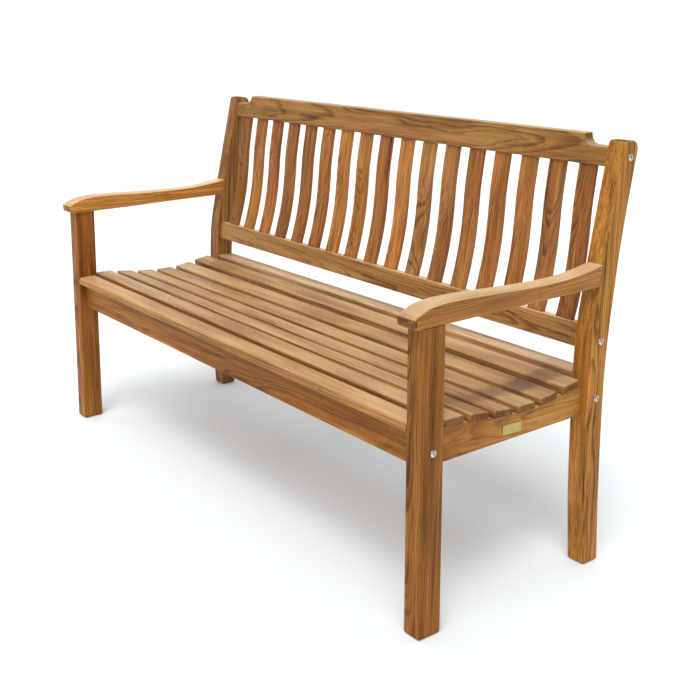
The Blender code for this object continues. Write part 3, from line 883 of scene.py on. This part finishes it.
def make_plate():
    length, height, thick = PLATE_SIZE
    corners = []
    for along, up in ((-length, -height), (length, -height), (length, height), (-length, height)):
        depth = PLATE_CENTRE[0] + (along * cos(PLATE_TILT) + up * sin(PLATE_TILT)) / 2
        corners.append((depth, PLATE_CENTRE[1] + (up * cos(PLATE_TILT) - along * sin(PLATE_TILT)) / 2))
    outline = []
    for i, corner in enumerate(corners):
        following = corners[(i + 1) % len(corners)]
        outline += rounded_corner(corners[i - 1], corner, following, PLATE_CORNER, 6)
    inside = SIDE_RAIL_OUTER + GAP
    form = section(outline, inside, inside + thick)
    ease(form, PLATE_EASED, lambda place: place.x > inside + thick - GAP, 3)
    piece_from(form, "plate", brass)


rail_heights = np.linspace(RAIL_BOTTOM, SEAT_DISH[-1][1], 7)
side_rail_span = (FRONT_LEG_DEPTH + GAP, min(leg_front(z) for z in rail_heights) - GAP)
for side_name, side in SIDES:
    make_front_leg(side_name, side)
    make_rear_leg(side_name, side)
    make_arm(side_name, side)
    faces = (side * (SIDE_RAIL_OUTER - SIDE_RAIL_THICK), side * SIDE_RAIL_OUTER)
    make_dished_rail(f"side_rail_{side_name}", faces, side_rail_span, 15)
    for rail_name in BOLT_PLACES:
        make_bolt(rail_name, side_name, side)
        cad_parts[f"barrel_nut_{rail_name}_{side_name}"].data.materials[0] = nut_steel
make_seat_rail("front_rail", FRONT_RAIL)
make_seat_rail("rear_seat_rail", REAR_SEAT_RAIL)
bearer_span = (FRONT_RAIL[1] + GAP, REAR_SEAT_RAIL[0] - GAP)
make_dished_rail("centre_bearer", (-BEARER_THICK / 2, BEARER_THICK / 2), bearer_span, 20)
make_lower_back_rail()
make_crest_rail()
for number in range(1, SEAT_SLATS + 1):
    make_seat_slat(number)
make_back_slats()
make_plate()


# --- Floor, light and camera --------------------------------------------------------------------

FLOOR_RADIUS = 900.0  # far enough for its edge to be the horizon
FLOOR_WHITE = (0.842, 0.893, 0.919, 1.0)  # a little blue, against the light that the wood throws on it
BEHIND = (-0.80, 0.60, 0.0)  # the way to the bright side of the studio
FAR_SIDE, NEAR_SIDE = 1.06, 0.28  # brightness of the two sides
DIMMING = (-0.35, 0.45)  # how far towards the bright side the near one ends and the far one starts
SOFT_BOXES = [  # leans to the right and to the front, half angles inside and outside, brightness
    (18, 24, 15, 29, 4.2),
    (22, 25, 6, 10, 8.3),
]
CAMERA_YAW, CAMERA_PITCH, CAMERA_ROLL = radians(53.711), radians(10.770), radians(-0.378)
CAMERA_PLACE = (2.1455, at_depth(-1.3166), 1.2074)
CAMERA_LENS = 55.89  # mm on a sensor 36 mm wide
CAMERA_SHIFT = (0.0805, -0.1962)

scene = bpy.context.scene
scene.view_settings.view_transform = "Standard"


def make_floor():
    form = bmesh.new()
    bmesh.ops.create_circle(form, cap_ends=True, radius=FLOOR_RADIUS, segments=128)
    mesh = bpy.data.meshes.new("floor")
    form.to_mesh(mesh)
    form.free()
    floor = bpy.data.objects.new("floor", mesh)
    scene.collection.objects.link(floor)
    made = Shading("floor_white")
    made.set(Base_Color=FLOOR_WHITE, Roughness=0.9, Specular_IOR_Level=0.1)
    mesh.materials.append(made.material)


def make_world():
    """A white studio with a bright far side, a dimmer near side, and soft boxes overhead."""
    world = bpy.data.worlds.new("White studio")
    world.use_nodes = True
    made = Nodes(world.node_tree)
    towards = made.node("ShaderNodeTexCoord", {}, out="Generated")
    light = made.between(made.dot(towards, BEHIND), *DIMMING, NEAR_SIDE, FAR_SIDE)
    for lean_right, lean_front, inside, outside, strength in SOFT_BOXES:
        aim = Vector((tan(radians(lean_right)), -tan(radians(lean_front)), 1)).normalized()
        edge, core = cos(radians(outside)), cos(radians(inside))
        box = made.between(made.dot(towards, aim), edge, core, 0.0, strength)
        light = made.math("ADD", light, box)
    background = made.tree.nodes["Background"]
    made.put(background.inputs["Strength"], light)
    made.put(background.inputs["Color"], (1.0, 1.0, 1.0, 1.0))
    scene.world = world


def make_camera():
    yaw, pitch, roll = CAMERA_YAW, CAMERA_PITCH, CAMERA_ROLL
    forward = Vector((-sin(yaw) * cos(pitch), cos(yaw) * cos(pitch), -sin(pitch)))
    right = Vector((cos(yaw), sin(yaw), 0))
    up = right.cross(forward)
    turned_right = cos(roll) * right + sin(roll) * up
    turned_up = cos(roll) * up - sin(roll) * right
    data = bpy.data.cameras.new("camera")
    data.sensor_width = 36
    data.lens = CAMERA_LENS
    data.shift_x, data.shift_y = CAMERA_SHIFT
    camera = bpy.data.objects.new("camera", data)
    turn = Matrix((turned_right, turned_up, -forward)).transposed()
    camera.matrix_world = Matrix.Translation(CAMERA_PLACE) @ turn.to_4x4()
    scene.collection.objects.link(camera)
    scene.camera = camera


make_floor()
make_world()
make_camera()
